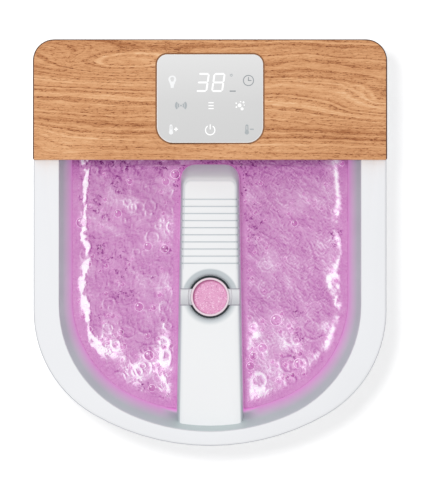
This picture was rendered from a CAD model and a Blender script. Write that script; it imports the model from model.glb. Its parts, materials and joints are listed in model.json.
"""Looks for a heated bubble foot bath: materials, water, bubbles, panel symbols, light and camera."""

import json
import math

import bmesh
import bpy
import numpy as np
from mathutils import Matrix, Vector
from mathutils.bvhtree import BVHTree


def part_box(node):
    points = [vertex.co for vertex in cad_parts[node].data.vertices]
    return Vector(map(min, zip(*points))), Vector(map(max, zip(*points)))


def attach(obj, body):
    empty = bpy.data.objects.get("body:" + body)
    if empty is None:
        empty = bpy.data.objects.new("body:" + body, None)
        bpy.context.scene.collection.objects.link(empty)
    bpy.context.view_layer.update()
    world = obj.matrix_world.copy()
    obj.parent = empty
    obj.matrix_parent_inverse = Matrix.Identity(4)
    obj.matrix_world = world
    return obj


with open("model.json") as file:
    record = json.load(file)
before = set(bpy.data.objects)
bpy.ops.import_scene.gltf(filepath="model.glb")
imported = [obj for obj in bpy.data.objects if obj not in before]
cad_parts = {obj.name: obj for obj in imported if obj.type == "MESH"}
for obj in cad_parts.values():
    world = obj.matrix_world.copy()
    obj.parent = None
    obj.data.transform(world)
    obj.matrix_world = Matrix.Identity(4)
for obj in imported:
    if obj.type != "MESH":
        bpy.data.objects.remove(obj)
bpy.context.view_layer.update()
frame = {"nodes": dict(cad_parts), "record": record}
NODES = frame["nodes"]
MM = 0.001
SEED = 20

# ---------- places, taken from the frame ----------

deck_lo, deck_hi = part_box("wood_cover")
panel_lo, panel_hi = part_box("touch_panel")
rim_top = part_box("rim_frame")[1].z
tub_lo, tub_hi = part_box("inner_tub")
pad_lo, pad_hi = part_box("abrasive_pad")
socket_lo, socket_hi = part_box("attachment_socket")

DISH_DEPTH = 5 * MM    # from the bridge's top down to the socket's
WATER_DROP = 72 * MM   # from the basin's top down to the waterline
WATER_SLAB = 6 * MM    # how far below its surface the water is drawn

pad_mid = (pad_lo + pad_hi) / 2
pad_r = (pad_hi.x - pad_lo.x) / 2
bridge_top = socket_hi.z + DISH_DEPTH
water_z = tub_hi.z - WATER_DROP
water_bottom_z = water_z - WATER_SLAB


# ---------- node helpers ----------

class Shader:
    """A material's node tree, with short calls for the nodes used here."""

    def __init__(self, name):
        self.material = bpy.data.materials.new(name)
        self.material.use_nodes = True
        self.tree = self.material.node_tree
        self.bsdf = self.tree.nodes["Principled BSDF"]
        self.place = self.tree.nodes.new("ShaderNodeNewGeometry").outputs["Position"]

    def node(self, kind, **inputs):
        """A new node. In the names of inputs, an underscore stands for a space."""
        made = self.tree.nodes.new(kind)
        for key, value in inputs.items():
            self.feed(made.inputs[key.replace("_", " ")], value)
        return made

    def feed(self, socket, value):
        """Links the socket to an output, or gives it a plain value."""
        if isinstance(value, bpy.types.NodeSocket):
            self.tree.links.new(value, socket)
        else:
            socket.default_value = value

    def math(self, operation, *values):
        made = self.tree.nodes.new("ShaderNodeMath")
        made.operation = operation
        for socket, value in zip(made.inputs, values):
            self.feed(socket, value)
        return made.outputs[0]

    def add(self, total, *others):
        for other in others:
            total = self.math("ADD", total, other)
        return total

    def times(self, product, *others):
        for other in others:
            product = self.math("MULTIPLY", product, other)
        return product

    def minus(self, value, other):
        return self.math("SUBTRACT", value, other)

    def unsigned(self, value):
        return self.math("ABSOLUTE", value)

    def centred(self, value, weight):
        """A noise shifted to lie about zero, then weighted."""
        return self.times(self.minus(value, 0.5), weight)

    def scaled(self, scale, shift=(0, 0, 0)):
        """The place in the frame, stretched and shifted."""
        return self.node("ShaderNodeMapping", Vector=self.place, Scale=scale, Location=shift).outputs[0]

    def noise(self, scale, detail=3.0, roughness=0.5, distortion=0.0, vector=None):
        """Noise over the place in the frame, or over another vector."""
        made = self.node("ShaderNodeTexNoise", Vector=vector or self.place, Scale=scale, Detail=detail,
                         Roughness=roughness, Distortion=distortion)
        return made.outputs["Fac"]

    def ramp(self, value, *stops):
        """Colours along a value, each stop given as (place, colour)."""
        made = self.tree.nodes.new("ShaderNodeValToRGB")
        self.feed(made.inputs[0], value)
        ramp = made.color_ramp
        while len(ramp.elements) < len(stops):
            ramp.elements.new(0.5)
        for element, (at, color) in zip(ramp.elements, stops):
            element.position = at
            element.color = color
        return made.outputs["Color"]

    def span(self, value, low, high, out_low=0.0, out_high=1.0, smooth=True):
        """Maps the range from low to high, which may run downwards, onto the output range, and clamps."""
        made = self.tree.nodes.new("ShaderNodeMapRange")
        made.interpolation_type = "SMOOTHSTEP" if smooth else "LINEAR"
        for socket, number in zip(made.inputs, (value, low, high, out_low, out_high)):
            self.feed(socket, number)
        return made.outputs[0]

    def mix(self, factor, a, b):
        made = self.tree.nodes.new("ShaderNodeMix")
        made.data_type = "RGBA"
        self.feed(made.inputs["Factor"], factor)
        self.feed(made.inputs[6], a)
        self.feed(made.inputs[7], b)
        return made.outputs[2]

    def axis(self, letter, vector=None):
        """One coordinate of the place in the frame, or of another vector."""
        made = self.tree.nodes.new("ShaderNodeSeparateXYZ")
        self.feed(made.inputs[0], vector or self.place)
        return made.outputs[letter]

    def normal(self):
        return self.tree.nodes.new("ShaderNodeNewGeometry").outputs["Normal"]

    def up(self):
        """How far the surface faces up: 1 when level, 0 when upright."""
        return self.axis("Z", self.normal())

    def attribute(self, name):
        """A value that the mesh carries at each vertex."""
        made = self.node("ShaderNodeAttribute")
        made.attribute_name = name
        return made.outputs["Fac"]

    def from_pad(self):
        """Distances from the pad's middle: across, towards the rear, and straight."""
        across = self.minus(self.axis("X"), pad_mid.x)
        ahead = self.minus(self.axis("Y"), pad_mid.y)
        radius = self.math("SQRT", self.add(self.times(across, across), self.times(ahead, ahead)))
        return across, ahead, radius

    def rings(self, value, detail, roughness):
        """Noise along one value, as irregular as growth rings."""
        made = self.tree.nodes.new("ShaderNodeTexNoise")
        made.noise_dimensions = "1D"
        for key, number in (("W", value), ("Scale", 1.0), ("Detail", detail), ("Roughness", roughness)):
            self.feed(made.inputs[key], number)
        return made.outputs["Fac"]

    def swelling(self, place, reach, height):
        """A smooth hill over a place in X and Y, with its own reach each way."""
        power = 0.0
        for letter, middle, width in zip("XY", place, reach):
            away = self.math("DIVIDE", self.minus(self.axis(letter), middle), width)
            power = self.add(power, self.times(away, away))
        return self.times(self.math("POWER", math.e, self.times(power, -1.0)), height)

    def bump(self, height, strength, distance):
        made = self.node("ShaderNodeBump", Strength=strength, Distance=distance, Height=height)
        self.tree.links.new(made.outputs[0], self.bsdf.inputs["Normal"])

    def set(self, **inputs):
        """Feeds the material's surface and gives the finished material."""
        for key, value in inputs.items():
            self.feed(self.bsdf.inputs[key.replace("_", " ")], value)
        return self.material


def srgb(r, g, b):
    """A colour given in 0-255 screen values, as linear RGBA."""
    linear = [((c / 255 + 0.055) / 1.055) ** 2.4 if c > 10 else c / 255 / 12.92 for c in (r, g, b)]
    return (*linear, 1.0)


def grey(value):
    """A neutral colour given as a linear value."""
    return (value, value, value, 1.0)


# ---------- materials ----------

DRIFT = (9.0, 2.0)          # scale and detail of the slow changes in moulded plastic
SKIN = (2600.0, 2.0)        # scale and detail of its fine skin texture
SKIN_HEIGHT = 0.05 * MM


def moulded(name, color, roughness=0.3, grain=0.03, coat=0.0):
    """Injection-moulded plastic: faint flow variation, a fine skin texture and slight gloss changes."""
    s = Shader(name)
    drift = s.noise(*DRIFT)
    dark = tuple(c * 0.965 for c in color[:3]) + (1.0,)
    s.bump(s.noise(*SKIN), grain, SKIN_HEIGHT)
    return s.set(Base_Color=s.mix(drift, dark, color), Coat_Weight=coat, Coat_Roughness=0.12, IOR=1.46,
                 Roughness=s.span(drift, 0.3, 0.7, roughness - 0.05, roughness + 0.05))


def rubber(name, color, roughness=0.65):
    """Matt rubber or soft plastic with fine lighter specks."""
    s = Shader(name)
    specks = s.noise(900.0, 4.0)
    s.bump(specks, 0.25, 0.1 * MM)
    light = tuple(min(1.0, c * 1.25 + 0.01) for c in color[:3]) + (1.0,)
    return s.set(Base_Color=s.mix(specks, color, light), Roughness=roughness)


def metal(name, color, roughness=0.3, brushed=(40, 900, 40)):
    """Bare metal with fine lines, drawn out along the axes with the small scales."""
    s = Shader(name)
    lines = s.noise(1.0, 4.0, 0.6, vector=s.scaled(brushed))
    s.bump(lines, 0.08, 0.05 * MM)
    return s.set(Base_Color=color, Metallic=1.0,
                 Roughness=s.span(lines, 0.3, 0.7, roughness - 0.1, roughness + 0.1))


def circuit_board():
    """Green board with lighter tracks under a thin lacquer."""
    s = Shader("board_green")
    pads = s.noise(420.0, 1.0, vector=s.scaled((1, 1, 0.2)))
    tracks = s.span(pads, 0.52, 0.54)
    return s.set(Base_Color=s.mix(tracks, srgb(18, 92, 48), srgb(36, 128, 70)), Roughness=0.3,
                 Coat_Weight=0.4)


def wood():
    """Wood film: growth lines that bend round four swellings, long fibres, short dark pores."""
    s = Shader("wood_film")
    middle_y = (deck_lo.y + deck_hi.y) / 2
    warp = s.noise(1.0, 3.0, 0.5, vector=s.scaled((8, 30, 1), (3, 1, 0)))
    curl = s.noise(1.0, 3.0, 0.6, vector=s.scaled((70, 160, 1)))
    level = s.add(s.axis("Y"), s.centred(warp, 15 * MM), s.centred(curl, 3.0 * MM),
                  s.times(s.axis("X"), 0.03))
    figures = (((-0.098, middle_y + 40 * MM), (0.085, 0.015), 34 * MM),
               ((0.200, middle_y - 8 * MM), (0.060, 0.026), 20 * MM),
               ((-0.210, middle_y - 42 * MM), (0.032, 0.016), -13 * MM),
               ((0.105, middle_y + 46 * MM), (0.050, 0.016), -9 * MM))
    for place, reach, height in figures:
        level = s.add(level, s.swelling(place, reach, height))

    growth = s.span(s.rings(s.times(level, 215.0), 5.0, 0.66), 0.24, 0.72)
    broad = s.rings(s.times(level, 42.0), 2.0, 0.5)
    fibres = s.noise(1.0, 4.0, 0.62, 0.4, vector=s.scaled((90, 1000, 90)))
    dashes = s.noise(1.0, 2.0, 0.55, 0.8, vector=s.scaled((260, 1250, 260)))
    pores = s.times(s.span(dashes, 0.54, 0.64), s.span(growth, 0.85, 0.15, 0.35, 1.0))
    patches = s.noise(1.0, 2.0, 0.5, vector=s.scaled((9, 26, 1), (7, 4, 0)))
    at_rear = s.span(s.axis("Y"), deck_hi.y - 22 * MM, deck_hi.y - 4 * MM, 0.0, 0.08)
    tone = s.add(s.times(growth, 0.25), s.times(fibres, 0.60), s.times(broad, 0.40), s.times(patches, 0.30))
    tone = s.minus(s.minus(tone, s.times(pores, 0.33)), at_rear)
    film = s.ramp(s.span(tone, 0.37, 1.07, smooth=False),
                  (0.0, srgb(124, 68, 38)), (0.28, srgb(170, 107, 65)), (0.52, srgb(208, 149, 103)),
                  (0.76, srgb(228, 173, 126)), (1.0, srgb(243, 200, 157)))

    beside = s.unsigned(s.times(s.axis("X"), 1 / (panel_hi.x + 3 * MM)))
    behind = s.math("DIVIDE", s.minus(s.axis("Y"), (panel_lo.y + panel_hi.y) / 2),
                    (panel_hi.y - panel_lo.y) / 2 + 3 * MM)
    by_panel = s.span(s.math("MAXIMUM", beside, s.unsigned(behind)), 1.02, 0.99)
    edge = s.mix(by_panel, srgb(84, 46, 24), srgb(160, 112, 76))
    chamfer = s.times(s.span(s.up(), 0.98, 0.80), s.span(s.up(), 0.10, 0.40))
    s.bump(s.minus(fibres, pores), 0.16, 0.15 * MM)
    return s.set(Base_Color=s.mix(chamfer, film, edge), Roughness=s.span(fibres, 0.3, 0.7, 0.44, 0.58),
                 IOR=1.45, Specular_IOR_Level=0.3)


def panel_face():
    """Satin acrylic, a little lighter at the rear, with a bright polished edge."""
    s = Shader("panel_satin")
    along = s.span(s.axis("Y"), panel_lo.y, panel_hi.y, smooth=False)
    face = s.ramp(along, (0.0, srgb(212, 212, 212)), (0.45, srgb(216, 216, 216)), (1.0, srgb(230, 230, 230)))
    edge = s.span(s.up(), 0.998, 0.90)
    s.bump(s.noise(3000.0, 2.0), 0.02, 0.03 * MM)
    return s.set(Base_Color=s.mix(edge, face, srgb(252, 252, 252)), Roughness=0.4, Specular_IOR_Level=0.3)


def rim_plastic():
    """White plastic whose rolled outer edge reads as a soft grey line."""
    s = Shader("rim_white")
    drift = s.noise(*DRIFT)
    white = s.mix(drift, srgb(238, 239, 242), srgb(243, 244, 247))
    s.bump(s.noise(*SKIN), 0.02, SKIN_HEIGHT)
    rolled = s.times(s.span(s.up(), 0.90, 0.45), s.span(s.up(), 0.02, 0.16))
    return s.set(Base_Color=s.mix(rolled, white, srgb(192, 194, 200)),
                 Roughness=s.span(drift, 0.3, 0.7, 0.32, 0.40), IOR=1.46, Specular_IOR_Level=0.4)


def tub_plastic():
    """White basin plastic: cool grey walls that turn pink towards the water, shaded grooves and dish."""
    s = Shader("tub_white")
    height = s.axis("Z")
    drift = s.noise(*DRIFT)
    across, ahead, radius = s.from_pad()

    # Plain colours by slope. The bridge's rear end catches light from behind.
    outer = s.span(s.unsigned(s.axis("X")), 42 * MM, 60 * MM)
    on_bridge = s.minus(1.0, outer)
    rear_end = s.times(s.span(s.axis("Y"), 68 * MM, 76 * MM), on_bridge)
    level = s.mix(drift, srgb(241, 242, 244), srgb(246, 247, 248))
    upright = s.mix(drift, srgb(195, 212, 210), srgb(202, 218, 216))
    steep = s.mix(s.span(s.up(), 0.26, 0.44), upright, srgb(206, 214, 218))
    steep = s.mix(rear_end, steep, srgb(234, 240, 240))
    white = s.mix(s.span(s.up(), 0.55, 0.985), steep, level)

    # The dish round the socket: a narrow shadow at the rear, a wider and lighter one in front.
    dish_r = (socket_hi.x - socket_lo.x) / 2 + 4.8 * MM
    deep = s.span(radius, dish_r + 0.4 * MM, dish_r - 2.2 * MM)
    shallow = s.span(radius, dish_r + 0.4 * MM, dish_r - 6.0 * MM)
    dished = s.add(s.times(deep, s.span(ahead, -14 * MM, 14 * MM)),
                   s.times(shallow, s.span(ahead, 14 * MM, -14 * MM, 0.0, 0.85)))
    white = s.mix(dished, white, srgb(196, 203, 207))

    # The finger channel across the bridge, with darker side walls.
    from_axis = s.unsigned(ahead)
    channel = s.times(s.span(from_axis, 10.3 * MM, 9.6 * MM),
                      s.span(height, bridge_top - 8 * MM, bridge_top - 5 * MM),
                      s.span(s.unsigned(across), 37 * MM, 34 * MM))
    seat = s.mix(s.span(ahead, -9 * MM, 8 * MM), srgb(200, 201, 206), srgb(228, 229, 232))
    seat = s.mix(s.span(from_axis, 8.3 * MM, 9.3 * MM), seat, srgb(176, 176, 184))
    white = s.mix(channel, white, seat)

    # The floors of the cross grooves.
    grooved = s.times(s.span(height, bridge_top - 0.3 * MM, bridge_top - 0.9 * MM),
                      s.span(s.up(), 0.80, 0.95), s.span(ahead, 30 * MM, 33 * MM), s.minus(1.0, rear_end))
    white = s.mix(grooved, white, srgb(213, 216, 221))

    # Pink light: down the outer walls, and just above the water on the bridge.
    on_wall = s.times(s.span(height, tub_hi.z - 16 * MM, water_z - 2 * MM, smooth=False), outer)
    glow = s.math("MAXIMUM", on_wall, s.span(height, water_z + 20 * MM, water_z))
    rear_light = s.times(rear_end, s.span(s.up(), 0.85, 0.60),
                         s.span(height, water_z + 20 * MM, water_z + 34 * MM, 0.0, 0.03))
    lit = s.add(s.times(glow, s.add(0.27, s.times(on_bridge, 0.16))), rear_light)
    s.bump(s.noise(2400.0, 2.0), 0.03, SKIN_HEIGHT)
    return s.set(Base_Color=s.mix(glow, white, srgb(218, 160, 212)),
                 Emission_Color=s.mix(glow, srgb(236, 240, 240), srgb(212, 140, 202)),
                 Emission_Strength=lit, Roughness=0.36, Specular_IOR_Level=0.3)


def water():
    """Aerated water lit from below: curling ripples, white froth where bubbles gather, dark clear gaps."""
    s = Shader("lit_water")

    def curls(scale, width, detail=2.0):
        """Thin curling lines: the contour lines of a noise."""
        level = s.noise(scale, detail, 0.5, 1.6)
        return s.span(s.unsigned(s.minus(level, 0.5)), width, 0.0)

    fine = s.noise(420.0, 3.0, 0.6, 0.6)
    bright = s.times(curls(130.0, 0.028), s.span(s.noise(48.0, 1.0), 0.42, 0.62))
    light = s.times(curls(230.0, 0.050), 0.5)
    lines = s.add(bright, light)
    shadow = s.times(curls(165.0, 0.034, 3.0), s.span(s.noise(52.0, 1.0), 0.44, 0.60))
    sparkle = s.span(s.noise(900.0, 1.0), 0.70, 0.78)
    value = s.add(s.attribute("froth"), s.centred(fine, 0.30), s.times(s.attribute("relief"), 0.20),
                  s.times(lines, 0.12))
    value = s.add(s.minus(value, s.times(shadow, 0.12)), s.times(sparkle, 0.16))
    under_deck = s.span(s.axis("Y"), deck_lo.y - 32 * MM, deck_lo.y + 2 * MM)
    specks = s.span(s.noise(250.0, 3.0, 0.6, 0.8), 0.55, 0.63)
    value = s.minus(value, s.times(under_deck, 0.13))
    value = s.minus(value, s.times(specks, s.attribute("clear"), 0.46))
    color = s.ramp(value, (0.0, srgb(122, 38, 116)), (0.18, srgb(168, 92, 160)), (0.36, srgb(197, 135, 187)),
                   (0.58, srgb(213, 167, 205)), (0.78, srgb(236, 210, 233)), (0.93, srgb(255, 250, 255)))
    s.bump(s.add(fine, lines), 0.35, 0.5 * MM)
    return s.set(Base_Color=color, Emission_Color=color, Emission_Strength=0.16, Roughness=0.12, IOR=1.33,
                 Specular_IOR_Level=0.4)


def bubble_film():
    """Thin bubble skin: clear inside, a bright outline at the waterline and a window glint on top."""
    s = Shader("bubble_film")
    normal = s.normal()
    outline = s.span(s.axis("Z", normal), 0.64, 0.44)
    towards = s.tree.nodes.new("ShaderNodeVectorMath")
    towards.operation = "DOT_PRODUCT"
    s.feed(towards.inputs[0], normal)
    towards.inputs[1].default_value = Vector((-0.30, 0.34, 0.90)).normalized()
    glint = s.span(towards.outputs["Value"], 0.970, 0.992, 0.0, 0.8)
    wet = s.noise(240.0, 2.0, 0.5, 1.0)
    bright = s.math("MAXIMUM", s.times(outline, s.span(wet, 0.25, 0.55, 0.55, 1.0)), glint)
    color = s.mix(bright, srgb(226, 176, 220), srgb(255, 246, 254))
    return s.set(Base_Color=color, Roughness=0.08, IOR=1.33, Emission_Color=color,
                 Emission_Strength=s.times(bright, 0.30),
                 Alpha=s.span(bright, 0.0, 0.9, 0.06, 0.95, smooth=False))


def grit():
    """Pink abrasive with very fine mineral grains, darker towards its rim."""
    s = Shader("pink_grit")
    cell = s.node("ShaderNodeTexVoronoi", Vector=s.place, Scale=1100.0)
    pick = s.axis("X", cell.outputs["Color"])
    mottled = s.noise(420.0, 3.0, 0.6)
    base = s.mix(mottled, srgb(226, 158, 199), srgb(240, 178, 214))
    grains = s.mix(s.span(pick, 0.86, 0.92), base, srgb(252, 214, 236))
    grains = s.mix(s.span(pick, 0.12, 0.06), grains, srgb(212, 142, 184))
    across, ahead, radius = s.from_pad()
    shaded = s.add(radius, s.times(s.minus(ahead, across), 0.06))
    rim = s.span(shaded, pad_r - 2.6 * MM, pad_r + 1.0 * MM)
    s.bump(cell.outputs["Distance"], 0.5, 0.3 * MM)
    return s.set(Base_Color=s.mix(rim, grains, srgb(176, 96, 140)), Specular_IOR_Level=0.3,
                 Roughness=s.span(pick, 0.7, 0.9, 0.75, 0.45))


def lit_symbol(name, color, strength):
    """Printed symbol with a light of its own behind it."""
    s = Shader(name)
    return s.set(Base_Color=color, Emission_Color=color, Emission_Strength=strength,
                 Roughness=s.span(s.noise(800.0), 0.3, 0.7, 0.35, 0.45))


MATERIALS = {
    "housing_white": moulded("housing_white", srgb(236, 237, 241), 0.36, coat=0.3),
    "rim_white": rim_plastic(),
    "tub_white": tub_plastic(),
    "base_white": moulded("base_white", srgb(226, 226, 229), 0.5, 0.12),
    "bed_white": moulded("bed_white", srgb(232, 214, 232), 0.4, 0.08),
    "wood": wood(),
    "panel_grey": panel_face(),
    "display_white": moulded("display_white", srgb(246, 246, 246), 0.4),
    "seal_grey": rubber("seal_grey", srgb(188, 190, 194)),
    "foot_rubber": rubber("foot_rubber", srgb(48, 48, 51)),
    "hose_grey": rubber("hose_grey", srgb(150, 153, 158), 0.45),
    "cord_white": rubber("cord_white", srgb(230, 230, 233), 0.5),
    "wire_red": rubber("wire_red", srgb(170, 44, 38), 0.5),
    "roller_grey": moulded("roller_grey", srgb(206, 196, 212), 0.35, 0.05),
    "socket_dark": moulded("socket_dark", srgb(40, 50, 54), 0.32, 0.05, coat=0.2),
    "cup_pink": moulded("cup_pink", srgb(240, 218, 230), 0.36, 0.03, coat=0.3),
    "pad_pink": grit(),
    "lens_clear": moulded("lens_clear", srgb(248, 222, 246), 0.2, 0.04, coat=0.3),
    "board_green": circuit_board(),
    "spring_brass": metal("spring_brass", srgb(212, 176, 104), 0.3),
    "screw_steel": metal("screw_steel", srgb(196, 197, 200), 0.32),
    "axle_steel": metal("axle_steel", srgb(206, 207, 210), 0.22, (40, 40, 900)),
    "element_steel": metal("element_steel", srgb(140, 140, 146), 0.4),
    "motor_steel": metal("motor_steel", srgb(178, 179, 183), 0.34),
    "bracket_steel": metal("bracket_steel", srgb(190, 191, 194), 0.38),
    "heater_aluminium": metal("heater_aluminium", srgb(214, 215, 218), 0.36),
    "dark_plastic": moulded("dark_plastic", srgb(62, 62, 66), 0.45, 0.1),
    "impeller_white": moulded("impeller_white", srgb(238, 238, 238), 0.35, 0.05),
}
SLOT = {entry["node"]: entry["material_slot"] for entry in frame["record"]["subparts"]}


# ---------- CAD nodes: finish only ----------

SPLIT_GAP = 0.002 * MM    # vertices closer than this are one
FLAT_UNDER = 0.5          # degrees: flatter edges are dissolved before a bevel
BEVEL_OVER = 50           # degrees: sharper edges are bevelled
SHARP_OVER = 32           # degrees: sharper edges stay sharp in the shading
BEVELS = {"wood_cover": (1.25, 1), "touch_panel": (1.1, 3), "rim_frame": (0.9, 3)}  # width in mm, segments


def smooth_group():
    """A node group that shades smoothly and keeps the sharp edges."""
    group = bpy.data.node_groups.new("smooth_but_sharp_edges", "GeometryNodeTree")
    group.interface.new_socket("Geometry", in_out="INPUT", socket_type="NodeSocketGeometry")
    group.interface.new_socket("Geometry", in_out="OUTPUT", socket_type="NodeSocketGeometry")
    start = group.nodes.new("NodeGroupInput")
    end = group.nodes.new("NodeGroupOutput")
    faces = group.nodes.new("GeometryNodeSetShadeSmooth")
    edges = group.nodes.new("GeometryNodeSetShadeSmooth")
    edges.domain = "EDGE"
    edges.inputs["Shade Smooth"].default_value = False
    angle = group.nodes.new("GeometryNodeInputMeshEdgeAngle")
    compare = group.nodes.new("FunctionNodeCompare")
    compare.operation = "GREATER_THAN"
    compare.inputs["B"].default_value = math.radians(SHARP_OVER)
    group.links.new(angle.outputs[0], compare.inputs["A"])
    group.links.new(compare.outputs[0], edges.inputs["Selection"])
    group.links.new(start.outputs[0], faces.inputs[0])
    group.links.new(faces.outputs[0], edges.inputs[0])
    group.links.new(edges.outputs[0], end.inputs[0])
    return group


def finish_node(name, shading, bevel_mm=0.0, segments=0):
    """Gives a CAD node its material, joins its split faces for shading and softens its edges."""
    obj = NODES[name]
    mesh = obj.data
    mesh.materials.clear()
    mesh.materials.append(MATERIALS[SLOT[name]])
    if "custom_normal" in mesh.attributes:
        mesh.attributes.remove(mesh.attributes["custom_normal"])
    weld = obj.modifiers.new("weld", "WELD")
    weld.merge_threshold = SPLIT_GAP
    if bevel_mm:
        flat = obj.modifiers.new("flatten", "DECIMATE")
        flat.decimate_type = "DISSOLVE"
        flat.angle_limit = math.radians(FLAT_UNDER)
        bevel = obj.modifiers.new("bevel", "BEVEL")
        bevel.width = bevel_mm * MM
        bevel.segments = segments
        bevel.limit_method = "ANGLE"
        bevel.angle_limit = math.radians(BEVEL_OVER)
        bevel.use_clamp_overlap = False
    smooth = obj.modifiers.new("smooth", "NODES")
    smooth.node_group = shading


smooth_shading = smooth_group()
for node_name in NODES:
    finish_node(node_name, smooth_shading, *BEVELS.get(node_name, ()))


# ---------- new pieces ----------

def add_piece(name, bm, material, smooth=True):
    """Makes a piece of the built mesh. It stays with the basin."""
    mesh = bpy.data.meshes.new(name)
    bmesh.ops.recalc_face_normals(bm, faces=bm.faces)
    for face in bm.faces:
        face.smooth = smooth
    bm.to_mesh(mesh)
    bm.free()
    obj = bpy.data.objects.new(name, mesh)
    bpy.context.scene.collection.objects.link(obj)
    mesh.materials.append(material)
    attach(obj, "root")


# ---------- noise for the water's surface ----------

def unit(values):
    """The values kept between 0 and 1."""
    return np.clip(values, 0, 1)


def bell(values, middle, width):
    """1 at the middle, falling off on both sides."""
    return np.exp(-(((values - middle) / width) ** 2))


def smooth_noise(rng, x, y, cell):
    """Value noise on a seeded grid, smoothly interpolated, between 0 and 1."""
    u, v = (x - x.min()) / cell, (y - y.min()) / cell
    grid = rng.random((int(u.max()) + 3, int(v.max()) + 3))
    i, j = u.astype(int), v.astype(int)
    fu, fv = u - i, v - j
    fu, fv = fu * fu * (3 - 2 * fu), fv * fv * (3 - 2 * fv)
    a = grid[i, j] * (1 - fu) + grid[i + 1, j] * fu
    b = grid[i, j + 1] * (1 - fu) + grid[i + 1, j + 1] * fu
    return a * (1 - fv) + b * fv


def fractal(rng, x, y, cell, octaves=3):
    """Smooth noise in several halved sizes, between 0 and 1."""
    total = sum(0.5 ** k * smooth_noise(rng, x, y, cell / 2 ** k) for k in range(octaves))
    return total / sum(0.5 ** k for k in range(octaves))


def ridges(noise):
    """Thin crests where a noise crosses its middle value."""
    return unit(1 - np.abs(noise - 0.5) * 9) ** 2


def round_cells(rng, x, y, count, small, large, crest=0.9 * MM):
    """Rings left by bubbles just under the surface: the height of their crests, between 0 and 1."""
    rim = np.zeros_like(x)
    for _ in range(count):
        cx, cy = rng.uniform(x.min(), x.max()), rng.uniform(y.min(), y.max())
        r = small + (large - small) * rng.random() ** 2
        squash = rng.uniform(0.8, 1.25)
        near = (np.abs(x - cx) < 1.6 * r) & (np.abs(y - cy) < 1.6 * r)
        if near.any():
            d = np.hypot(x[near] - cx, (y[near] - cy) * squash) / r
            rim[near] = np.maximum(rim[near], np.exp(-(((d - 1) * r / crest) ** 2)))
    return rim


# ---------- water ----------

ACROSS = 0.5                 # longer than any line through the basin
HIT_STEP = 0.05 * MM         # how far past a hit the search goes on
UNDER_DECK = 10 * MM         # how far behind the deck's front edge the search for the rear wall starts
WATER_GAP = 0.15 * MM        # between the water's sides and the basin
REAR_GAP = 0.6 * MM          # between the water's rear edge and the basin
NARROWEST = 1.0 * MM         # no water is drawn in gaps narrower than this
HALF_WIDTH = 0.135           # sets how many columns a half has
COARSE, FINE = 1.5 * MM, 0.95 * MM
STREAK_IN = 14.5 * MM        # how far from the wall the long white streak runs
STREAK_END = -0.136          # the y where it fades out


def tub_tree():
    """The basin's faces, ready for casting lines at them."""
    bm = bmesh.new()
    bm.from_mesh(NODES["inner_tub"].data)
    tree = BVHTree.FromBMesh(bm)
    bm.free()
    return tree


def crossings(tree, start, direction):
    """Distances at which a straight line from start meets the basin."""
    found, gone = [], 0.0
    while gone < ACROSS:
        hit, _normal, _index, step = tree.ray_cast(start + direction * gone, direction, ACROSS - gone)
        if hit is None:
            break
        gone += step + HIT_STEP
        found.append(gone)
    return found


def wet_span(tree, side, y, z):
    """Where water can stand on one side of the middle at a given y: from the bridge to the wall."""
    hits = crossings(tree, Vector((0.0, y, z)), Vector((side, 0.0, 0.0)))
    if len(hits) < 2:
        return None
    inner = hits[-3] + WATER_GAP if len(hits) >= 3 else 0.0
    outer = hits[-2] - WATER_GAP
    return (inner, outer) if outer - inner > NARROWEST else None


def edge_distance(x, y, edge):
    """Distance of each grid point from a line through the edge's (x, y) points."""
    nearest = np.full(x.shape, np.inf)
    for (ax, ay), (bx, by) in zip(edge[:-1], edge[1:]):
        dx, dy = bx - ax, by - ay
        along = unit(((x - ax) * dx + (y - ay) * dy) / max(dx * dx + dy * dy, 1e-12))
        nearest = np.minimum(nearest, np.hypot(x - ax - along * dx, y - ay - along * dy))
    return nearest


def water_grid(tree, side):
    """One side's grid at the waterline: x and y, distances from wall and bridge, and the lower edges."""
    step = FINE
    start_y = deck_lo.y + UNDER_DECK
    back = crossings(tree, Vector((0.0, start_y, water_z)), Vector((0, 1, 0)))[0]
    rows = []
    for y in np.arange(start_y + back - REAR_GAP, tub_lo.y, -step):
        span = wet_span(tree, side, float(y), water_z)
        low = wet_span(tree, side, float(y), water_bottom_z)
        if span and low:
            rows.append((float(y), *span, *low))
    columns = int(HALF_WIDTH / step)
    y = np.repeat([r[0] for r in rows], columns).reshape(-1, columns)
    inner = np.array([r[1] for r in rows])[:, None]
    outer = np.array([r[2] for r in rows])[:, None]
    x = inner + (outer - inner) * np.linspace(0, 1, columns)[None, :]
    from_wall = edge_distance(x, y, [(r[2], r[0]) for r in rows] + [(rows[-1][1], rows[-1][0])])
    return x, y, from_wall, x - inner, [(side * r[3], side * r[4]) for r in rows]


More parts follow.
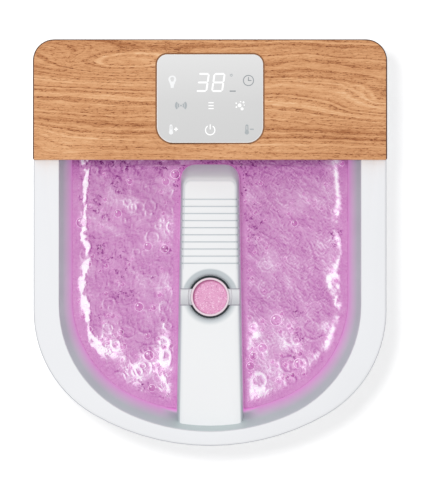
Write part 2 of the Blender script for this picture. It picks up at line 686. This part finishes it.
def water_half(tree, side, rng):
    """One side's water: place, height, and where it is frothy or clear. Draws from rng in a fixed order."""
    x, y, from_wall, from_bridge, low = water_grid(tree, side)
    calm = unit((from_wall - 5 * MM) / (5 * MM)) * unit((from_bridge - 3 * MM) / (5 * MM))

    # ripples: swells, curling crests and rings
    ragged = fractal(rng, x, y, 15 * MM, 4) - 0.5
    swell = fractal(rng, x, y, 34 * MM) - 0.5
    pull_x, pull_y = ((fractal(rng, x, y, 13 * MM, 3) - 0.5) * 22 * MM for _ in range(2))
    curl = [ridges(fractal(rng, x + pull_x, y + pull_y, cell, 2)) for cell in (9 * MM, 6 * MM, 4 * MM)]
    broken = np.clip((fractal(rng, x, y, 26 * MM) - 0.36) * 3.2, 0.15, 1)
    cells = round_cells(rng, x, y, 190, 2.2 * MM, 8.5 * MM) * broken
    blobs = ridges(fractal(rng, x + pull_x, y + pull_y, 17 * MM, 3))
    scallops = round_cells(rng, x + 0.12 * pull_x, y + 0.12 * pull_y, 120, 3.5 * MM, 11 * MM, 1.5 * MM)
    crests = 0.55 * curl[0] + 0.5 * curl[1] + 0.35 * curl[2] + 0.9 * cells

    # the long white streak that follows the wall
    along = smooth_noise(rng, x * 0, y, 15 * MM)
    half_width = (2.6 + 6.4 * along ** 1.5) * MM
    wander = (smooth_noise(rng, x * 0, y, 30 * MM) - 0.5) * 8 * MM
    fringe = np.abs(fractal(rng, x, y, 4 * MM, 2) - 0.5) * 6 * MM
    fading = unit((y - STREAK_END) / (14 * MM))
    off = np.abs(from_wall - STREAK_IN - wander + ragged * 9 * MM) + fringe * (0.5 + along)
    streak = unit((half_width - off) / (1.0 * MM)) * fading
    holes = unit((fractal(rng, x + 0.4 * pull_x, y, 7 * MM, 2) - 0.51) * 9) * unit(along * 3.0)
    streak = streak * (1 - 0.9 * holes) * (1 - 0.3 * curl[2])
    halo = bell(off, 0, 8 * MM) * fading

    # white swirls at the front and beside the bridge
    patch = fractal(rng, x + 0.5 * pull_x, y + 0.5 * pull_y, 24 * MM, 4)
    forward = unit((y.max() - y) / 0.20)
    front = unit((STREAK_END + 0.050 - y) / 0.03) * unit((from_wall - 8 * MM) / (5 * MM))
    beside = bell(from_bridge, 14 * MM, 8 * MM) * forward
    patches = unit((patch - 0.50 + 0.12 * front + 0.08 * beside + 0.08 * halo) * 4)
    swirls = np.maximum(crests, 1.25 * np.maximum(0.8 * blobs, scallops) * (front + beside))
    swirls = (0.58 * front + 0.42 * beside + 0.55 * halo) * unit((swirls - 0.42) * 1.6)
    white = unit(streak + swirls * patches) * calm

    # what the material and the bubbles read
    mottle = 0.07 * (crests - 0.35) + 0.09 * cells + 0.17 * patches
    froth = 0.41 + 0.10 * swell + mottle * calm + 0.60 * white
    clear = unit((fractal(rng, x, y, 26 * MM) - 0.63) * 11)
    corner = bell(from_bridge, 5 * MM, 4 * MM) * unit((y - deck_lo.y + 52 * MM) / (14 * MM))
    by_deck = unit((y - deck_lo.y + 7 * MM) / (5 * MM)) * unit(fractal(rng, x, y, 20 * MM) * 4 - 1.6)
    clear = (unit(clear * 0.8 + by_deck) * calm + 1.25 * corner) * (1 - white)
    gather = unit(white + 0.4 * patches + 0.5 * beside + 0.4 * front + 0.6 * halo)

    # height, and how far each slope leans towards the light
    rise = swell * 2.6 + crests * 1.0 + blobs * 0.15 + scallops * (front + 0.15) * 1.2
    height = water_z + (rise + patches * 0.7 + white * 1.4 + ragged * 2.2) * MM * calm
    lean = (np.roll(height, 2, 0) - height) + side * (np.roll(height, -2, 1) - height)
    relief = np.clip(lean / (1.1 * MM), -1, 1) * calm
    return {"x": x * side, "y": y, "z": height, "froth": unit(froth), "clear": clear, "relief": relief,
            "calm": calm, "low": low, "gather": gather}


def add_water(halves):
    """Both halves as closed slabs: the rippled top, straight sides and a flat bottom."""
    bm = bmesh.new()
    layers = {name: bm.verts.layers.float.new(name) for name in ("froth", "clear", "relief")}
    for half in halves:
        x, y, z = half["x"], half["y"], half["z"]
        top, bottom = [], []
        for r in range(x.shape[0]):
            top.append([])
            for c in range(x.shape[1]):
                v = bm.verts.new((x[r, c], y[r, c], z[r, c]))
                for name, layer in layers.items():
                    v[layer] = half[name][r, c]
                top[r].append(v)
            bottom.append([bm.verts.new((low_x, y[r, 0], water_bottom_z)) for low_x in half["low"][r]])
        last_r, last_c = x.shape[0] - 1, x.shape[1] - 1
        for r in range(last_r):
            for c in range(last_c):
                bm.faces.new((top[r][c], top[r][c + 1], top[r + 1][c + 1], top[r + 1][c]))
            bm.faces.new((bottom[r][0], bottom[r + 1][0], bottom[r + 1][1], bottom[r][1]))
            bm.faces.new((top[r][0], top[r + 1][0], bottom[r + 1][0], bottom[r][0]))
            bm.faces.new((top[r + 1][last_c], top[r][last_c], bottom[r][1], bottom[r + 1][1]))
        bm.faces.new(top[0][::-1] + [bottom[0][0], bottom[0][1]])
        bm.faces.new(top[last_r] + [bottom[last_r][1], bottom[last_r][0]])
    add_piece("water", bm, water())


# ---------- bubbles ----------

# Sizes: how many on each side, smallest and largest radius in mm, sides, rings, how far they gather
BUBBLES = ((26, 3.0, 7.0, 32, 8, 0.95), (170, 1.1, 2.9, 16, 4, 0.88), (560, 0.45, 1.0, 7, 2, 0.40))
TRIES = 60             # per bubble wanted
CALM_ENOUGH = 0.3      # bubbles keep off the strips along the wall and the bridge
OVERLAP = 0.82         # how close two bubbles may stand, against the sum of their radii
DOME_HEIGHT = 0.8      # against the radius


def add_dome(bm, center, r, around, rings):
    """A closed bubble: a dome that reaches a little below the waterline."""
    sink = min(1.2 * MM, 0.5 * r)
    levels = [(r * math.cos(a), r * math.sin(a)) for a in (math.pi / 2 * k / rings for k in range(rings))]
    loops = []
    for ring_r, ring_z in [(r * 0.96, -sink)] + levels:
        loops.append([bm.verts.new((center.x + ring_r * math.cos(2 * math.pi * i / around),
                                    center.y + ring_r * math.sin(2 * math.pi * i / around),
                                    center.z + ring_z * DOME_HEIGHT)) for i in range(around)])
    tip = bm.verts.new((center.x, center.y, center.z + r * DOME_HEIGHT))
    for low, high in zip(loops[:-1], loops[1:]):
        for i in range(around):
            j = (i + 1) % around
            bm.faces.new((low[i], low[j], high[j], high[i]))
    for i in range(around):
        bm.faces.new((loops[-1][i], loops[-1][(i + 1) % around], tip))
    bm.faces.new(loops[0][::-1])


def add_bubbles(halves, rng):
    """Bubbles on the water, each standing clear of the larger ones, crowded along the froth."""
    bm = bmesh.new()
    for half in halves:
        rows, columns = half["x"].shape
        taken = []
        for count, small, large, around, rings, gather in BUBBLES:
            made = tries = 0
            while made < count and tries < count * TRIES:
                tries += 1
                r, c = int(rng.integers(rows)), int(rng.integers(columns))
                radius = (small + (large - small) * rng.random() ** 2.2) * MM
                likely = (1 - gather) + gather * half["gather"][r, c]
                if half["calm"][r, c] < CALM_ENOUGH or rng.random() > likely:
                    continue
                x, y, z = (float(half[key][r, c]) for key in ("x", "y", "z"))
                if any(math.hypot(x - a, y - b) < (radius + other) * OVERLAP for a, b, other in taken):
                    continue
                taken.append((x, y, radius))
                add_dome(bm, Vector((x, y, z + 0.08 * radius)), radius, around, rings)
                made += 1
    add_piece("bubbles", bm, bubble_film())


water_rng = np.random.default_rng(SEED)
basin_tree = tub_tree()
water_halves = [water_half(basin_tree, side, water_rng) for side in (-1, 1)]
add_water(water_halves)
add_bubbles(water_halves, water_rng)


# ---------- panel symbols ----------

SYMBOL_T = 0.12 * MM
SYMBOL_GAP = 0.01 * MM     # between the panel and the printed layer
panel_mid = Vector(((panel_lo.x + panel_hi.x) / 2, (panel_lo.y + panel_hi.y) / 2, panel_hi.z))


def solid_from(outlines, holes=()):
    """A thin closed solid from 2D outlines in millimetres about the panel's middle."""
    curve = bpy.data.curves.new("outline", "CURVE")
    curve.dimensions = "2D"
    curve.fill_mode = "BOTH"
    curve.extrude = SYMBOL_T / 2
    for points in (*outlines, *holes):
        spline = curve.splines.new("POLY")
        spline.points.add(len(points) - 1)
        spline.use_cyclic_u = True
        for knot, (px, py) in zip(spline.points, points):
            knot.co = (panel_mid.x + px * MM, panel_mid.y + py * MM, 0, 1)
    holder = bpy.data.objects.new("outline", curve)
    bpy.context.scene.collection.objects.link(holder)
    bpy.context.view_layer.update()
    mesh = bpy.data.meshes.new_from_object(holder.evaluated_get(bpy.context.evaluated_depsgraph_get()))
    bpy.data.objects.remove(holder)
    bpy.data.curves.remove(curve)
    bm = bmesh.new()
    bm.from_mesh(mesh)
    bpy.data.meshes.remove(mesh)
    bmesh.ops.translate(bm, vec=(0, 0, panel_mid.z + SYMBOL_T / 2 + SYMBOL_GAP), verts=bm.verts)
    bmesh.ops.remove_doubles(bm, verts=bm.verts, dist=1e-6)
    return bm


def arc(cx, cy, r, a0=0.0, a1=360.0, n=36):
    """Points along an arc, or round a full circle, with angles in degrees."""
    closed = abs(a1 - a0) >= 360
    steps = range(n) if closed else range(n + 1)
    return [(cx + r * math.cos(math.radians(a0 + (a1 - a0) * i / n)),
             cy + r * math.sin(math.radians(a0 + (a1 - a0) * i / n))) for i in steps]


def arc_band(cx, cy, r, w, a0, a1):
    """A curved stroke of width w."""
    return arc(cx, cy, r + w / 2, a0, a1) + arc(cx, cy, r - w / 2, a1, a0)


def bar(x0, y0, x1, y1, w):
    """A straight stroke of width w with square ends."""
    length = math.hypot(x1 - x0, y1 - y0)
    nx, ny = -(y1 - y0) / length * w / 2, (x1 - x0) / length * w / 2
    return [(x0 + nx, y0 + ny), (x1 + nx, y1 + ny), (x1 - nx, y1 - ny), (x0 - nx, y0 - ny)]


def plus_sign(cx, cy, reach, w):
    """A plus sign of stroke width w, as one outline."""
    t = w / 2
    return [(cx + px, cy + py) for px, py in
            ((-reach, -t), (-reach, t), (-t, t), (-t, reach), (t, reach), (t, t),
             (reach, t), (reach, -t), (t, -t), (t, -reach), (-t, -reach), (-t, -t))]


def seven_segments(digit, cx, cy, w, h, stroke, lean):
    """Outlines of a slanted seven-segment digit."""
    lit = {3: "abcdg", 8: "abcdefg"}[digit]
    t, g = stroke / 2, stroke * 0.12
    left, right, top, bottom = -w / 2 + t, w / 2 - t, h / 2 - t, -h / 2 + t
    place = {"a": (left, top, right, top), "g": (left, 0, right, 0), "d": (left, bottom, right, bottom),
             "b": (right, top, right, 0), "c": (right, 0, right, bottom), "e": (left, 0, left, bottom),
             "f": (left, top, left, 0)}
    shapes = []
    for name in lit:
        x0, y0, x1, y1 = place[name]
        if y0 == y1:
            points = [(x0 + g, y0), (x0 + t + g, y0 + t), (x1 - t - g, y0 + t), (x1 - g, y0),
                      (x1 - t - g, y0 - t), (x0 + t + g, y0 - t)]
        else:
            points = [(x0, y0 - g), (x0 + t, y0 - t - g), (x0 + t, y1 + t + g), (x0, y1 + g),
                      (x0 - t, y1 + t + g), (x0 - t, y0 - t - g)]
        shapes.append([(cx + px + py * lean, cy + py) for px, py in points])
    return shapes


def add_symbol(name, material, outlines, holes=()):
    """One printed symbol on the panel."""
    add_piece(name, solid_from(outlines, holes), material, smooth=False)


def add_symbols():
    """The display's two digits and the touch keys. Places and sizes are in mm about the panel's middle."""
    white = lit_symbol("symbol_lit", srgb(255, 255, 255), 0.10)
    soft = lit_symbol("symbol_soft", srgb(244, 245, 246), 0.04)
    grey_print = lit_symbol("symbol_grey", srgb(150, 155, 160), 0.0)
    faint = lit_symbol("symbol_faint", srgb(176, 182, 185), 0.0)

    for index, (digit, x) in enumerate(((3, -8.4), (8, 9.4))):
        shapes = seven_segments(digit, x, 18.2, 13.4, 21.4, 2.0, 0.15)
        add_symbol(f"display_digit_{index}", white, shapes)
    add_symbol("display_degree", faint, [arc(24.0, 26.4, 1.5)], [arc(24.0, 26.4, 0.8)])
    add_symbol("display_unit", grey_print, [bar(22.2, 8.4, 29.0, 8.4, 1.3)])

    x, y = -42.6, 21.6
    bulb = arc(x, y, 4.4, -40, 220)
    cap = [(x - 2.0, y - 6.4), (x - 1.6, y - 9.6), (x + 1.6, y - 9.6), (x + 2.0, y - 6.4)]
    inside = arc(x, y + 0.6, 2.3, 0, 180, 18) + [(x - 1.1, y - 2.4), (x + 1.1, y - 2.4)]
    add_symbol("key_light", soft, [bulb + cap], [inside])

    x, y = 43.4, 20.4
    hands = [bar(x, y, x, y + 3.8, 0.9), bar(x, y, x + 3.4, y, 0.9)]
    add_symbol("key_timer", grey_print, [arc(x, y, 6.2)] + hands, [arc(x, y, 5.3)])

    x, y = -32.8, -7.8
    waves = [arc(x, y, 1.0)]
    for side in (0, 180):
        waves += [arc_band(x, y, r, w, side - 40, side + 40) for r, w in ((3.0, 1.7), (5.6, 2.3))]
    add_symbol("key_massage", faint, waves)

    x, y = 1.2, -8.0
    lines = [bar(x - 3.0, y + lift, x + 3.0, y + lift, 1.1) for lift in (-3.3, 0.0, 3.3)]
    add_symbol("key_program", white, lines)

    x, y = 33.2, -8.0
    spots = ((0.2, 0.4, 2.1), (3.0, -3.6, 1.7), (4.6, 3.8, 1.1), (-3.6, 2.8, 0.9), (-3.4, -1.6, 1.0),
             (1.4, 4.4, 0.8), (5.4, 0.6, 0.7))
    add_symbol("key_bubbles", white, [arc(x + dx, y + dy, r, n=20) for dx, dy, r in spots])

    warm_x, cool_x, y = -44.0, 41.6, -34.6
    for name, x, material in (("key_warmer", warm_x, soft), ("key_cooler", cool_x, faint)):
        thermometer = arc(x, y + 3.8, 1.6, 0, 180, 12) + arc(x, y - 3.6, 2.4, 140, 400, 24)
        add_symbol(name, material, [thermometer], [bar(x, y - 0.4, x, y + 3.6, 1.1)])
    add_symbol("key_warmer_sign", white, [plus_sign(warm_x + 5.6, y, 2.2, 1.3)])
    add_symbol("key_cooler_sign", faint, [bar(cool_x + 5.6 - 2.2, y, cool_x + 5.6 + 2.2, y, 1.3)])

    x, y = 0.2, -35.6
    add_symbol("key_power", white, [arc_band(x, y, 5.3, 1.2, 122, 418), bar(x, y + 0.8, x, y + 6.6, 1.2)])


add_symbols()


# ---------- light, floor and camera ----------

FLOOR_HALF = 4.0
SENSOR_MM = 36.0
LAMPS_AIM = Vector((0.0, 0.0, 0.1))
CAMERA_HEIGHT = 3.2        # above the rim, far enough for a nearly parallel view
CAMERA_ASIDE = 2.8 * MM
SEEN_HEIGHT = 0.550        # how much of the rim's level the picture's longer side covers


def add_floor():
    """A white floor that stays out of the model."""
    bm = bmesh.new()
    bmesh.ops.create_grid(bm, x_segments=1, y_segments=1, size=FLOOR_HALF)
    mesh = bpy.data.meshes.new("floor")
    bm.to_mesh(mesh)
    bm.free()
    floor = bpy.data.objects.new("floor", mesh)
    bpy.context.scene.collection.objects.link(floor)
    s = Shader("floor_white")
    mesh.materials.append(s.set(Base_Color=grey(0.94), Roughness=0.9, Specular_IOR_Level=0.1,
                                Emission_Color=grey(1.0), Emission_Strength=0.31))


def add_area(name, place, size, power, shiny=True):
    """A round lamp aimed at the object. One that isn't shiny leaves no reflections."""
    light = bpy.data.lights.new(name, "AREA")
    light.shape = "DISK"
    light.size = size
    light.energy = power
    obj = bpy.data.objects.new(name, light)
    obj.location = place
    obj.rotation_euler = (LAMPS_AIM - Vector(place)).to_track_quat("-Z", "Y").to_euler()
    obj.visible_glossy = shiny
    bpy.context.scene.collection.objects.link(obj)


def add_camera():
    """Straight above, from far away, with the whole plan in the frame."""
    camera = bpy.data.cameras.new("camera")
    camera.type = "PERSP"
    camera.sensor_width = SENSOR_MM
    camera.lens = SENSOR_MM * CAMERA_HEIGHT / SEEN_HEIGHT
    obj = bpy.data.objects.new("camera", camera)
    obj.location = (CAMERA_ASIDE, 0.0, rim_top + CAMERA_HEIGHT)
    bpy.context.scene.collection.objects.link(obj)
    bpy.context.scene.camera = obj


def set_world(strength):
    """Even white light from all round."""
    world = bpy.data.worlds.new("studio")
    world.use_nodes = True
    background = world.node_tree.nodes["Background"]
    background.inputs["Color"].default_value = grey(1.0)
    background.inputs["Strength"].default_value = strength
    bpy.context.scene.world = world


add_floor()
set_world(0.56)
add_area("key", (-0.17, 0.17, 2.4), 0.28, 20.6, shiny=False)
add_area("glint", (-0.9, 0.9, 1.5), 0.35, 1.2)
add_camera()
bpy.context.scene.view_settings.view_transform = "Standard"
